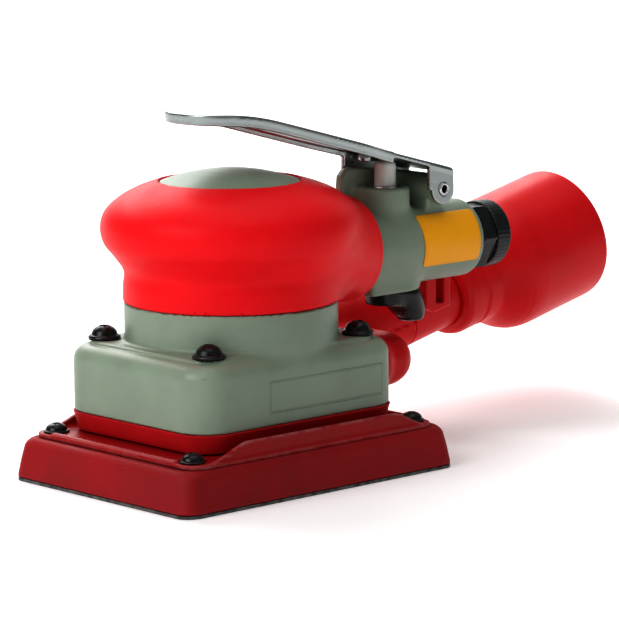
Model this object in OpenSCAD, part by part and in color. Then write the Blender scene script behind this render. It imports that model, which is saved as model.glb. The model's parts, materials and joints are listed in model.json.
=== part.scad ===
// Air-powered orbital sander with a rectangular pad, a squeeze lever over a padded grip,
// and a swivelling hose fitting for dust extraction.
// X runs to the rear (handle and hose), Y to the side away from the label, Z up.
// The origin is on the motor axis, on the plane of the pad's working face. Millimetres.

/* [Pad] */
// Length of the pad along X
pad_l = 103.1; // [100:0.1:106]
// Width of the pad along Y
pad_w = 77.3; // [75:0.1:80]
// Corner radius of the pad
pad_corner_r = 5; // [4:0.5:7]
// Top of the foam pad above the working face
pad_top = 12.2; // [11.5:0.1:12.5]
// Thickness of the slick film under the foam
film_t = 0.8; // [0.5:0.1:1.2]
// How far the foam narrows from its foot to its shoulder, on each side
pad_taper = 1.3; // [0.5:0.1:1.8]
// Radius of the orbit that every point of the pad follows
orbit_r = 1.2; // [0.8:0.1:1.4]

/* [Backing plate] */
// Length of the plate along X
plate_l = 93; // [92:0.5:95]
// Width of the plate along Y
plate_w = 70.6; // [70:0.1:71]
// Sheet thickness of the plate
plate_t = 1.3; // [1:0.1:1.5]
// Height of the turned-up side flanges above the plate's underside
flange_h = 5.8; // [4:0.1:6]

/* [Housing] */
// Length of the block at the housing's foot
block_l = 76; // [75.6:0.1:76.4]
// Width of the block
block_w = 62; // [61.6:0.1:62.4]
// Underside of the block
block_z0 = 19.5; // [19:0.1:20]
// Top of the block
block_z1 = 38.6; // [38:0.1:39]
// Wall of the block
block_wall = 3; // [2.7:0.1:3]
// Radius of the motor barrel just above the block
barrel_r = 30.6; // [30.2:0.1:30.9]
// Height at which the grip starts
grip_z = 50.4; // [49.5:0.1:51]
// Radius of the handle tube
tube_r = 11.8; // [11.5:0.1:12]
// Height of the handle tube's axis
tube_z = 59.1; // [58.8:0.1:59.4]
// Rear end of the handle tube
tube_end = 91.7; // [91.2:0.5:92.7]

/* [Lever and valve] */
// Throttle valve's distance behind the motor axis
valve_x = 61.2; // [60.8:0.1:61.6]
// Lever pivot's distance behind the motor axis
pivot_x = 75.6; // [75.2:0.1:76]
// Height of the lever pivot
pivot_z = 76.05; // [75.8:0.05:76.3]
// Slope of the lever's straight part, in degrees
lever_slope = 15.2; // [14:0.1:16]
// Sheet thickness of the lever
lever_t = 1.5; // [1.2:0.1:1.6]
// Width of the lever over the palm
lever_w = 27; // [24:0.5:30]

/* [Dust exhaust] */
// Upward tilt of the swivel's axis, in degrees
duct_tilt = 13.1; // [12:0.1:14]
// Sideways offset of the swivel's axis from the handle
duct_y = 26; // [26:0.5:27]
// Outer radius of the fixed duct
duct_r = 11.2; // [11:0.1:11.5]
// Outer radius of the hose cup
cup_r = 21.4; // [21.2:0.1:21.7]
// Inner radius of the hose cup
cup_bore_r = 15.9; // [14:0.1:16.5]

/* [Motor] */
// Radius of the motor bore in the housing
motor_r = 22.5; // [22:0.1:23]
// Radius of the motor shaft
shaft_r = 4; // [3.8:0.1:4]
// Radius of the rotor
rotor_r = 15.4; // [15:0.1:15.6]
// Radius of the vane chamber in the motor cylinder
chamber_r = 18.2; // [17.8:0.1:18.3]

/* [Hidden] */
$fn = 96;

eps = 0.01;
slip = 0.03;                       // gap between assembled pieces of one body
grey = "#8d9088";
red = "#d81f26";
dark_red = "#a5161c";
black = "#1c1c1e";
steel = "#b9bcc0";
brass = "#b08d4a";

// Levels of the motor stack, from the lock ring up
lock_z = 40;
low_plate_z = 44;
rotor_z0 = 52;
rotor_z1 = 72;
motor_top = 80;
bearing_r = 11;
bearing_h = 7;

// Levels of the crank and the spindle
cup_z0 = 25;
cup_z1 = 36.4;
crank_cup_r = 13.4;
plate_z = pad_top;
pad_y = -orbit_r;                  // side of the axis on which the pad stands at rest
plate_top = plate_z + plate_t;

// Places of the corner screws
column_x = 28.3;
column_y = 22.7;
column_r = 3.1;
plate_screw_x = 41.8;
plate_screw_y = 29.7;
plateau_top = block_z1 + 1;
block_corner_r = 9.5;

// Grip: outline of the turned body as (radius, height) from the skirt to the top opening
grip_outline = [[30.9, 50.4], [30.8, 55.2], [30.6, 59.4], [33.3, 63.6], [36.2, 67.4],
                [37.1, 71.8], [35.9, 76], [32.3, 79.6], [27, 82.6], [20.2, 85]];
core_r = 28.4;                     // housing radius under the grip
core_shoulder_z = 76;                // foot of the cone that closes the core
crown_r = 20.1;
crown_z = 84.4;
crown_top = 88.1;
grip_end_x = 47;
neck_z = 60.6;

// Lever geometry: a straight run that curls level towards the tip
lever_top_at_pivot = 83.1;         // top of the sheet above the pivot
lever_bend_x = 8;
lever_bend_r = 105;
lever_tip_x = -18.8;
lever_rear_x = 80;
lever_neck_w = 20.4;
lever_lip = 1.6;
ear_t = 1.4;
ear_r = 4.7;
pin_r = 2;
running = 0.05;                    // radial clearance of a turning or sliding fit

// Exhaust: distances along the swivel axis from its reference point
duct_ref = [120, duct_y, 40];
duct_start = -33.4;
spigot_start = -12.6;
fitting_start = -12.4;
spigot_r = 11;
duct_bore_r = 8.6;
fitting_end = 45.6;
elbow_wall = 2.2;

// Valve tower, speed control boss, knob and sleeve
tower_r = 7.3;
tower_top = 77.3;
bushing_z = 70.2;
boss_r = 10.2;
boss_z = 46.6;
boss_front_x = 46;
retainer_r = 7.4;
sleeve_r = 6;
stem_r = 4.5;
spring_floor_z = 46.9;
knob_z0 = 42;
knob_z1 = 46.2;
// Cylinders that the knob's paddle is stretched over: distance behind the valve, radius, foot, top
knob_paddle = [[4.8, 6.1, 41.9, 46.2], [8.1, 6.8, 39.5, 46], [10.4, 3.2, 35.8, 38]];
inlet_plug_r = 8.4;
inlet_collar_r = 10.2;

function arc(cx, cy, r, a0, a1, n) =
    [for (i = [0 : n]) let (a = a0 + (a1 - a0) * i / n) [cx + r * cos(a), cy + r * sin(a)]];

// Catmull-Rom curve through a list of points, with n steps between neighbours
function spline_at(p0, p1, p2, p3, t) =
    0.5 * (2 * p1 + (p2 - p0) * t + (2 * p0 - 5 * p1 + 4 * p2 - p3) * t * t
           + (3 * p1 - p0 - 3 * p2 + p3) * t * t * t);
function smooth(p, n) =
    [for (i = [0 : len(p) - 2], k = [0 : n - 1])
         spline_at(p[max(i - 1, 0)], p[i], p[i + 1], p[min(i + 2, len(p) - 1)], k / n),
     p[len(p) - 1]];

// Top of the lever's sheet at a given X on the centre plane
lever_bend_z = lever_top_at_pivot + (pivot_x - lever_bend_x) * tan(lever_slope);
function lever_top(x) =
    x > lever_bend_x
    ? lever_top_at_pivot + (pivot_x - x) * tan(lever_slope)
    : lever_bend_z - lever_bend_r * cos(lever_slope)
      + sqrt(pow(lever_bend_r, 2)
             - pow(min(lever_bend_x - x - lever_bend_r * sin(lever_slope), 0), 2));

// ---- shared shapes ----

// Rounded rectangle, centred, standing on the XY plane
module slab(l, w, r, h) {
    linear_extrude(h) {
        square([l - 2 * r, w], center = true);
        square([l, w - 2 * r], center = true);
        for (sx = [-1, 1], sy = [-1, 1])
            translate([sx * (l / 2 - r), sy * (w / 2 - r)])
                circle(r, $fn = 32);
    }
}

// Rounded block from z0 to z1 whose top edge has the radius e
module pillow(l, w, r, z0, z1, e) {
    hull() {
        translate([0, 0, z0])
            slab(l, w, r, eps);
        for (a = [0 : 22.5 : 90])
            translate([0, 0, z1 - e + e * sin(a) - eps])
                slab(l - 2 * e * (1 - cos(a)), w - 2 * e * (1 - cos(a)),
                     r - e * (1 - cos(a)), eps);
    }
}

module along_x(x0, z = tube_z, y = 0) {
    translate([x0, y, z])
        rotate([0, 90, 0])
            children();
}

// Places its children on the swivel axis, which becomes their Z axis
module on_swivel(w = 0) {
    translate(duct_ref)
        rotate([0, 90 - duct_tilt, 0])
            translate([0, 0, w])
                children();
}

module ring(r_out, r_in, h) {
    difference() {
        cylinder(r = r_out, h = h);
        translate([0, 0, -1])
            cylinder(r = r_in, h = h + 2);
    }
}

module at_corners(x, y) {
    for (sx = [-1, 1], sy = [-1, 1])
        translate([sx * x, sy * y, 0])
            children();
}

// Ball bearing: two races and a ring of balls, standing on z = 0
module ball_bearing(r_out, r_in, h, balls) {
    race = (r_out - r_in) * 0.28;
    mid = (r_out + r_in) / 2;
    ring(r_out, r_out - race, h);
    ring(r_in + race, r_in, h);
    for (i = [0 : balls - 1])
        rotate([0, 0, i * 360 / balls])
            translate([mid, 0, h / 2])
                sphere((r_out - r_in) / 2 - race - slip, $fn = 24);
}

// Low round screw head with a flange, and its shank below it
module collar_screw(head_r, head_h, flange_r, flange_t, shank_r, shank_l) {
    translate([0, 0, -shank_l])
        cylinder(r = shank_r, h = shank_l + eps);
    difference() {
        union() {
            cylinder(r = flange_r, h = flange_t);
            rotate_extrude()
                polygon(concat([[0, flange_t - eps], [head_r, flange_t - eps]],
                               [for (a = [15 : 15 : 90])
                                    [head_r * cos(a), flange_t + head_h * sin(a)]]));
        }
        translate([0, 0, flange_t + head_h * 0.45])
            cylinder(r = head_r * 0.42, h = head_h, $fn = 6);
    }
}

// ---- housing and what is fixed to it ----

module core_shape(gap = 0) {
    rotate_extrude()
        polygon(concat([[0, grip_z], [core_r + gap, grip_z],
                        [core_r + gap, core_shoulder_z], [crown_r + gap, 84],
                        [crown_r + gap, crown_z]],
                       [for (i = [1 : 6]) let (t = i / 6)
                            [(crown_r + gap) * (1 - t), crown_z + (crown_top - crown_z) * (1 - pow(1 - t, 2))]]));
    along_x(10)
        cylinder(r = tube_r + gap, h = tube_end - 10 - 1.2);
}

// Boss under the handle that carries the speed control
module speed_boss(gap = 0) {
    translate([valve_x, 0, boss_z - gap])
        cylinder(r = boss_r + gap, h = tube_z - boss_z);
    translate([boss_front_x - gap, -boss_r - gap, boss_z - gap])
        cube([valve_x - boss_front_x, 2 * (boss_r + gap), 9]);
}

module guard_wall() {
    top_front = [[48.6, tube_z], [48.6, 78.6]];
    translate([0, 8.6, 0])
        rotate([90, 0, 0])
            linear_extrude(8.6 - 5.5)
                polygon(concat(top_front, arc(52.9, 78.7, 4.3, 175, 82, 8),
                               [[84.6, 78.8], [84.6, tube_z]]));
}

module housing() {
    color(grey)
    difference() {
        union() {
            pillow(block_l, block_w, block_corner_r, block_z0, block_z1, 4.5);
            translate([0, 0, block_z1 - 3])
                slab(66.4, 55.2, 7.5, plateau_top - block_z1 + 3);
            translate([0, 0, block_z1 - 1])
                cylinder(r = barrel_r, h = grip_z - block_z1 + 1);
            core_shape();
            along_x(tube_end - 1.2 - eps)
                cylinder(r1 = tube_r, r2 = tube_r - 1.2, h = 1.2 + eps);
            // tower for the throttle valve, and the wall and barrel for the lever pin
            translate([valve_x, 0, tube_z]) {
                cylinder(r = tower_r, h = tower_top - tube_z);
                translate([-tower_r, 0, 0])
                    cube([2 * tower_r, 7, tower_top - tube_z]);
            }
            guard_wall();
            translate([pivot_x, 5.6, pivot_z])
                rotate([90, 0, 0])
                    cylinder(r = 4.2, h = 5.6 + 8.6);
            translate([pivot_x - 3.4, -6.4, tube_z + 4])
                cube([6.8, 12, pivot_z - tube_z - 4]);
            // boss for the speed control
            speed_boss();
        }
        // hollow foot of the block, motor bore, dust outlet
        translate([0, 0, block_z0 - 1])
            slab(block_l - 2 * block_wall, block_w - 2 * block_wall, 3, 35.5 - block_z0 + 1);
        translate([0, 0, 34])
            cylinder(r = motor_r, h = motor_top - 34);
        translate([block_l / 2 - 5, -10, 21.8])
            cube([10, 20, 9.4]);
        at_corners(column_x, column_y)
            translate([0, 0, 30])
                cylinder(r = 2 + slip, h = 12);
        // air way from the inlet to the motor
        along_x(tube_end - 13)
            cylinder(r = inlet_plug_r, h = 20);
        along_x(motor_r - 2)
            cylinder(r = 3.5, h = 59);
        // throttle valve and speed control bores
        translate([valve_x, 0, bushing_z])
            cylinder(r = 5 + slip, h = 10);
        translate([valve_x, 0, 57])
            cylinder(r = 4.6, h = bushing_z - 57 + eps);
        translate([valve_x, 0, boss_z - 1])
            cylinder(r = sleeve_r, h = 57.7 - boss_z + 1);
        translate([valve_x, 0, boss_z - 1])
            cylinder(r = retainer_r + 0.05, h = 1.9);
        // lever pin hole
        translate([pivot_x, 20, pivot_z])
            rotate([90, 0, 0])
                cylinder(r = pin_r + 0.01, h = 40);
    }
}

module grip_neck() {
    hull() {
        along_x(4, neck_z + 4.2)
            resize([30, 61, 1])
                cylinder(r = 15, h = 1, $fn = 48);
        along_x(30, neck_z + 2.2)
            resize([33, 45, 1])
                cylinder(r = 15, h = 1, $fn = 48);
        along_x(grip_end_x - 3, neck_z)
            resize([31.4, 31.4, 1])
                cylinder(r = 15, h = 1, $fn = 48);
        along_x(grip_end_x - 0.5, neck_z)
            resize([29.4, 29.4, 1])
                cylinder(r = 15, h = 0.5, $fn = 48);
    }
}

module grip() {
    color(red)
    difference() {
        union() {
            rotate_extrude()
                polygon(concat([[0, grip_z]], smooth(grip_outline, 4), [[0, 85]]));
            grip_neck();
        }
        core_shape(slip);
        translate([0, 0, grip_z - 10])
            cylinder(r = barrel_r + slip, h = 10);
        cylinder(r = crown_r + slip, h = 100);
        along_x(20)
            cylinder(r = tube_r + slip, h = 60);
        speed_boss(slip);
        translate([boss_front_x - slip, -boss_r - slip, 40])
            cube([20, 2 * (boss_r + slip), boss_z - 40]);
    }
}

module housing_screws() {
    color(black)
        at_corners(column_x, column_y)
            translate([0, 0, plateau_top])
                collar_screw(3.7, 2.7, 4.65, 1.3, 2, 9.6);
}

// Flexible posts that keep the pad from turning
module support_columns() {
    color(dark_red)
        at_corners(column_x, column_y)
            difference() {
                rotate_extrude()
                    polygon([[0, 14.2], [column_r, 14.2], [column_r, 17.5], [2.3, 20],
                             [2.3, 27], [column_r, 29.5], [column_r, 35.45], [0, 35.45]]);
                translate([0, 0, 29.9])
                    cylinder(r = 2 + slip, h = 10);
            }
}

module skirt() {
    color(dark_red)
    difference() {
        hull() {
            translate([0, 0, block_z0 - eps])
                slab(block_l + 0.8, block_w + 0.8, block_corner_r + 0.3, eps);
            translate([0, 0, 14])
                slab(block_l - 1.6, block_w - 1.6, block_corner_r - 0.5, eps);
        }
        translate([0, 0, 10])
            slab(block_l - 6, block_w - 6, 6, 20);
    }
}

module lock_ring() {
    color(steel)
        translate([0, 0, lock_z])
            difference() {
                ring(motor_r - slip, 14, 4 - slip);
                for (a = [0 : 90 : 270])
                    rotate([0, 0, a])
                        translate([18, 0, -1])
                            cylinder(r = 1.6, h = 6);
            }
}

module lower_endplate() {
    color(steel)
        translate([0, 0, low_plate_z])
            difference() {
                cylinder(r = motor_r - slip, h = rotor_z0 - low_plate_z - slip);
                translate([0, 0, -1])
                    cylinder(r = bearing_r + slip, h = bearing_h + 1.2);
                cylinder(r = 5.4, h = 20);
            }
}

module lower_bearing() {
    color(steel)
        translate([0, 0, low_plate_z + 0.1])
            ball_bearing(bearing_r, shaft_r + 0.02, bearing_h, 8);
}

module motor_cylinder() {
    color(steel)
    difference() {
        translate([0, 0, rotor_z0])
            cylinder(r = motor_r - slip, h = rotor_z1 - rotor_z0);
        translate([0, -2.6, rotor_z0 - 1])
            cylinder(r = chamber_r, h = rotor_z1 - rotor_z0 + 2);
        along_x(12)
            cylinder(r = 2.6, h = 20);
    }
}

module upper_endplate() {
    color(steel)
        translate([0, 0, rotor_z1 + slip])
            difference() {
                cylinder(r = motor_r - slip, h = motor_top - rotor_z1 - 2 * slip);
                translate([0, 0, 0.8])
                    cylinder(r = bearing_r + slip, h = 10);
                translate([0, 0, -1])
                    cylinder(r = 5.4, h = 10);
            }
}

module upper_bearing() {
    color(steel)
        translate([0, 0, rotor_z1 + 0.9])
            ball_bearing(bearing_r, shaft_r + 0.02, bearing_h - 0.1, 8);
}

module lever_pin() {
    color(steel)
        translate([pivot_x, 10.7, pivot_z])
            rotate([90, 0, 0])
                ring(pin_r, 1.1, 21.4);
}

module valve_bushing() {
    color(steel)
        translate([valve_x, 0, bushing_z + 0.1]) {
            ring(5, 3.2 + running, 6.8);
            translate([0, 0, 6.8 - eps])
                ring(4.4, 3.2 + running, 0.6);
        }
}

module valve_seat() {
    color(brass)
        translate([valve_x, 0, 55.7])
            ring(sleeve_r - 0.02, 2.6, 1.9);
}

module knob_retainer() {
    color(steel)
        translate([valve_x, 0, boss_z + 0.1])
            ring(retainer_r, sleeve_r + 0.1, 0.7);
}

module inlet_bushing() {
    color(black)
    difference() {
        union() {
            along_x(tube_end - 12.8)
                cylinder(r = inlet_plug_r - slip, h = 14);
            along_x(tube_end + 0.8)
                cylinder(r = 10.6, h = 6.4, $fn = 6);
            along_x(tube_end + 7)
                difference() {
                    cylinder(r = inlet_collar_r, h = 6.2);
                    for (a = [0 : 15 : 345])
                        rotate([0, 0, a])
                            translate([inlet_collar_r, 0, -1])
                                cylinder(r = 0.2, h = 10, $fn = 4);
                }
        }
        along_x(tube_end + 1.8)
            cylinder(r = 5.6, h = 20);
        along_x(tube_end - 20)
            cylinder(r = 4, h = 30);
    }
}

module inlet_washer() {
    color(black)
        along_x(tube_end + 0.02)
            ring(9.2, inlet_plug_r, 0.76);
}

module inlet_screen() {
    color(brass)
        along_x(tube_end - 11)
            difference() {
                cylinder(r = 4 - slip, h = 0.6);
                for (x = [-1 : 1], y = [-1 : 1])
                    translate([x * 2, y * 2, -1])
                        cylinder(r = 0.7, h = 3, $fn = 16);
            }
}

// Plain sticker that wraps the near side of the handle tube
module label() {
    color("#f2b21b")
    intersection() {
        along_x(66.2)
            ring(tube_r + 0.25, tube_r + 0.01, 23.4);
        translate([60, 0, tube_z])
            rotate([90, 0, 90])
                linear_extrude(40)
                    polygon([[0, 0], 20 * [cos(128), sin(128)], 20 * [cos(168), sin(168)],
                             20 * [cos(208), sin(208)]]);
    }
}

// ---- exhaust ----

// Balls that the elbow's walls are stretched over, as [x, y, z, radius]: a low boot behind the
// block, its side arm, and the shoulder that rises beside the speed knob to the duct
boot = [[49, -1, 25.6, 7.8], [60.6, 2.2, 25.2, 8]];
arm = [[55.5, 25, 25.6, 7.9], [66.1, 24, 25.6, 7.9]];
shoulder = [[56.5, 28.2, 29.6, 10.1], [67.6, 28.6, 31.4, 10.3]];

module balls(list, gap) {
    for (b = list)
        translate([b[0], b[1], b[2]])
            sphere(b[3] - gap, $fn = 32);
}

module elbow_body(gap) {
    // neck that lies against the block's rear face
    hull() {
        translate([block_l / 2 - 1, 0, 26.6])
            rotate([0, 90, 0])
                slab(13.4 - 2 * gap, 26 - 2 * gap, 5 - gap, 1);
        balls(boot, gap);
    }
    hull() {
        balls(boot, gap);
        balls(arm, gap);
    }
    hull() {
        balls(shoulder, gap);
        on_swivel(duct_start)
            cylinder(r = duct_r - gap, h = 1.2, $fn = 32);
    }
    hull() {
        balls(arm, gap);
        on_swivel(duct_start)
            cylinder(r = duct_r - gap - 1, h = 1, $fn = 32);
    }
}

module exhaust_elbow() {
    color(red)
    difference() {
        elbow_body(0);
        elbow_body(elbow_wall);
        on_swivel(duct_start + 1)
            cylinder(r = 20, h = 10);
        translate([block_l / 2 - 6 + slip, -20, 10])
            cube([6, 60, 40]);
    }
}

// Bracket between the tube and the duct; its top slopes down to the duct on the far side
module saddle(y0, y1) {
    intersection() {
        translate([0, y1, 0])
            rotate([90, 0, 0])
                linear_extrude(y1 - y0)
                    polygon([[82, 51], [82, 37.6], [86, 35.6], [93, 37.2], [93, 51]]);
        translate([80, 0, 0])
            rotate([90, 0, 90])
                linear_extrude(20)
                    polygon([[0, 30], [0, 52], [10, 52], [26, 41.5], [26, 30]]);
    }
}

module exhaust_duct() {
    color(red)
    difference() {
        union() {
            on_swivel(duct_start + 1.02)
                cylinder(r = duct_r, h = spigot_start - duct_start - 1.02);
            on_swivel(spigot_start - eps)
                cylinder(r = spigot_r, h = -spigot_start);
            // saddle that hugs the underside of the handle tube
            saddle(4, 13);
            intersection() {
                saddle(4, 25);
                on_swivel(duct_start + 1.02)
                    cylinder(r = 40, h = 40);
            }
        }
        along_x(60)
            cylinder(r = tube_r + 0.05, h = 60);
        on_swivel(duct_start)
            cylinder(r = duct_bore_r, h = 60);
        translate([86.6, 3, 38.8])
            cube([3.2, 5, 7.6]);
        on_swivel(-3.9)
            ring(20, 9.85, 2);
        on_swivel(-9.1)
            ring(20, 9.3, 1.9);
    }
}

module exhaust_muffler() {
    color("#d8d3c4")
        on_swivel(duct_start + 3)
            ring(duct_bore_r - slip, 6.6, 16);
}

module swivel_ring() {
    color(steel)
        on_swivel(-3.8)
            difference() {
                ring(12, 9.9, 1.8);
                translate([8, -1, -1])
                    cube([6, 2, 4]);
            }
}

module swivel_seal() {
    color(black)
        on_swivel(-8.15)
            rotate_extrude()
                translate([10.17, 0])
                    circle(0.83, $fn = 24);
}

// Turned cup that takes the hose cuff, with a smaller barrel that swivels on the duct
module hose_fitting() {
    outline = [[14.2, 0.9], [14.6, 2.6], [14.6, 8.2], [14.2, 8.8], [14.2, 9.6], [14.7, 10.2], [14.8, 15.6]];
    flare = [[14.8, 15.6], [15.7, 17.2], [18.5, 20.4], [cup_r - 0.6, 24.6], [cup_r, 29]];
    rim = arc(cup_r - 2, fitting_end - fitting_start - 2, 2, 0, 90, 6);
    color(red)
        on_swivel(fitting_start)
            difference() {
                rotate_extrude()
                    polygon(concat([[0, 0], [12.6, 0]], outline, smooth(flare, 4), rim,
                                   [[0, fitting_end - fitting_start]]));
                translate([0, 0, -1])
                    cylinder(r = spigot_r + running, h = -fitting_start + 1.3);
                translate([0, 0, 8.4])
                    cylinder(r = 12.2, h = 2.2);
                cylinder(r = 10.2, h = 30);
                translate([0, 0, 22.9])
                    cylinder(r = cup_bore_r, h = 60);
            }
}

// ---- crank and rotor, which spin together ----

module crankshaft() {
    color(steel)
    difference() {
        union() {
            translate([0, 0, cup_z1 + 2])
                cylinder(r = 5.6, h = low_plate_z - cup_z1 - 2.1);
            translate([0, 0, cup_z1 + 2])
                cylinder(r = shaft_r, h = 79.4 - cup_z1 - 2);
            translate([0, pad_y, cup_z0])
                cylinder(r = crank_cup_r, h = cup_z1 + 2.6 - cup_z0);
        }
        translate([0, pad_y, cup_z0 - 1])
            cylinder(r = bearing_r + slip, h = cup_z1 - cup_z0 + 1);
        translate([-1 - 0.01, 2.6, 57.9])
            cube([2.02, 6, 8.2]);
    }
}

module counterweight() {
    color(brass)
    intersection() {
        difference() {
            translate([0, 0, cup_z0 + 2])
                cylinder(r = 20.6, h = 11);
            translate([0, pad_y, 0])
                cylinder(r = crank_cup_r + slip, h = 60);
        }
        linear_extrude(60)
            polygon([[0, 0], 60 * [cos(20), sin(20)], [0, 60], 60 * [cos(160), sin(160)]]);
    }
}

module rotor_blank() {
    difference() {
        translate([0, 0, rotor_z0 + 0.15])
            cylinder(r = rotor_r, h = rotor_z1 - rotor_z0 - 0.3);
        cylinder(r = shaft_r + slip, h = 90);
        translate([-1 - 0.01, 0, 57.9])
            cube([2.02, 5.4, 30]);
    }
}

module rotor() {
    color(steel)
    difference() {
        rotor_blank();
        for (i = [0 : 4])
            rotate([0, 0, 54 + 72 * i])
                translate([7, -0.85, 0])
                    cube([20, 1.7, 90]);
    }
}

module rotor_key() {
    color(brass)
        translate([-1, 2.65, 58])
            cube([2, 2.7, 8]);
}

module vanes() {
    color("#6b4a2c")
        for (i = [0 : 4])
            rotate([0, 0, 54 + 72 * i])
                translate([7.1, -0.8, rotor_z0 + 0.2])
                    cube([rotor_r - 7.2, 1.6, rotor_z1 - rotor_z0 - 0.4]);
}

module spindle_bearing() {
    color(steel)
        translate([0, pad_y, cup_z0 + 1.2])
            ball_bearing(bearing_r, shaft_r + 0.02, cup_z1 - cup_z0 - 1.3, 7);
}

module bearing_retainer() {
    color(black)
        translate([0, pad_y, cup_z0 + 0.1])
            ring(bearing_r, 8.4, 1);
}

// ---- pad assembly, which orbits ----

module spindle() {
    color(steel)
        translate([0, pad_y, plate_top + 0.01])
            difference() {
                union() {
                    cylinder(r = 15, h = 3);
                    cylinder(r = 6.2, h = cup_z0 - plate_top - 0.5);
                    cylinder(r = shaft_r, h = cup_z1 - 0.2 - plate_top);
                }
                for (a = [45 : 90 : 315])
                    rotate([0, 0, a])
                        translate([11, 0, -1])
                            cylinder(r = 1.5 + slip, h = 10);
            }
}

module spindle_screws() {
    color(steel)
        translate([0, pad_y, plate_top + 3.03])
            for (a = [45 : 90 : 315])
                rotate([0, 0, a])
                    translate([11, 0, 0])
                        collar_screw(2.4, 1.4, 2.7, 0.5, 1.5, 4.1);
}

module flange_outline() {
    foot = plate_z + 0.6;
    top = plate_z + flange_h;
    polygon([[-41, foot], [-38.5, foot + 0.9], [-29, top - 0.7], [-26.6, top], [30.4, top],
             [32.8, top - 0.7], [40.3, foot + 0.9], [42.8, foot]]);
}

module backing_plate() {
    color(dark_red)
        translate([0, pad_y, 0])
            difference() {
                union() {
                    translate([0, 0, plate_z])
                        slab(plate_l, plate_w, pad_corner_r, plate_t);
                    for (s = [-1, 1])
                        translate([0, s * (plate_w / 2 - plate_t / 2) + plate_t / 2, 0])
                            rotate([90, 0, 0])
                                linear_extrude(plate_t)
                                    flange_outline();
                    // low lip along the short ends
                    for (s = [-1, 1])
                        translate([s * (plate_l / 2 - 0.7) - 0.7, -27, plate_z])
                            cube([1.4, 54, plate_t + 0.7]);
                }
                at_corners(plate_screw_x, plate_screw_y)
                    translate([0, 0, 5])
                        cylinder(r = 2 + slip, h = 20);
                for (a = [45 : 90 : 315])
                    rotate([0, 0, a])
                        translate([11, 0, 5])
                            cylinder(r = 1.5 + slip, h = 20);
            }
}

module plate_screws() {
    color(black)
        translate([0, pad_y, plate_top])
            at_corners(plate_screw_x, plate_screw_y)
                collar_screw(3.1, 1.9, 3.7, 0.8, 2, 3.2);
}

board_l = 92;
board_w = 67;
board_t = 2.2;

module pad_board() {
    color("#4b3a2a")
        translate([0, pad_y, pad_top - board_t])
            difference() {
                slab(board_l, board_w, 4, board_t - 0.01);
                at_corners(plate_screw_x, plate_screw_y)
                    translate([0, 0, -1])
                        cylinder(r = 2 + slip, h = 10);
            }
}

module pad() {
    shoulder_z = 9.4;
    color(dark_red)
        translate([0, pad_y, 0])
            difference() {
                hull() {
                    translate([0, 0, film_t])
                        slab(pad_l, pad_w, pad_corner_r, eps);
                    translate([0, 0, shoulder_z])
                        slab(pad_l - 2 * pad_taper, pad_w - 2 * pad_taper, pad_corner_r, eps);
                    translate([0, 0, pad_top - 0.8])
                        slab(pad_l - 2 * pad_taper - 2, pad_w - 2 * pad_taper - 2, pad_corner_r, eps);
                    translate([0, 0, pad_top - eps])
                        slab(pad_l - 2 * pad_taper - 4, pad_w - 2 * pad_taper - 4, pad_corner_r, eps);
                }
                translate([0, 0, pad_top - board_t - 0.01])
                    slab(board_l + 0.04, board_w + 0.04, 4, 10);
            }
}

module pad_film() {
    color(black)
        translate([0, pad_y, 0])
            slab(pad_l, pad_w, pad_corner_r, film_t - 0.01);
}

// ---- lever ----

// Side view of the sheet, drop below its top surface by t
function sheet_outline(x0, x1, t) =
    concat([for (i = [0 : 24]) let (x = x0 + (x1 - x0) * i / 24) [x, lever_top(x)]],
           [for (i = [24 : -1 : 0]) let (x = x0 + (x1 - x0) * i / 24) [x, lever_top(x) - t]]);

module lever_plan(inset = 0) {
    r = 12 - inset;
    half = lever_w / 2 - inset;
    neck = lever_neck_w / 2 - inset;
    polygon(concat([[lever_rear_x, neck], [54, neck], [40, half]],
                   arc(lever_tip_x + 12, half - r, r, 90, 180, 10),
                   arc(lever_tip_x + 12, r - half, r, 180, 270, 10),
                   [[40, -half], [54, -neck], [lever_rear_x, -neck]]));
}

module lever_sheet(t) {
    translate([0, 30, 0])
        rotate([90, 0, 0])
            linear_extrude(60)
                polygon(sheet_outline(lever_tip_x - 5, lever_rear_x, t));
}

module ear(y0, front_x) {
    under = lever_t * 0.6;
    translate([0, y0 + ear_t, 0])
        rotate([90, 0, 0])
            linear_extrude(ear_t)
                polygon(concat(arc(pivot_x, pivot_z, ear_r, 270, 360, 8),
                               [[lever_rear_x, lever_top(lever_rear_x) - under],
                                [front_x, lever_top(front_x) - under]],
                               front_x < 65 ? [[front_x - 0.6, pivot_z + 1], [pivot_x - ear_r, pivot_z - 2]]
                                            : [[pivot_x - ear_r - 0.4, pivot_z]],
                               arc(pivot_x, pivot_z, ear_r, 200, 260, 4)));
}

module lever() {
    color(steel)
    difference() {
        union() {
            intersection() {
                lever_sheet(lever_t);
                linear_extrude(150)
                    lever_plan();
            }
            // down-turned edge round the palm section
            intersection() {
                lever_sheet(lever_t + lever_lip);
                linear_extrude(150)
                    difference() {
                        lever_plan();
                        lever_plan(1.2);
                        translate([56, -20])
                            square(40);
                    }
            }
            ear(-lever_neck_w / 2, pivot_x - ear_r - 0.6);
            ear(lever_neck_w / 2 - ear_t, 53);
        }
        translate([pivot_x, 20, pivot_z])
            rotate([90, 0, 0])
                cylinder(r = pin_r + running, h = 40);
    }
}

module lever_rivet() {
    color(steel)
        translate([54, 1, lever_top(54) - lever_t - 2.4])
            cylinder(r = 2, h = 2.9);
}

// ---- throttle valve and speed control ----

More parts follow.
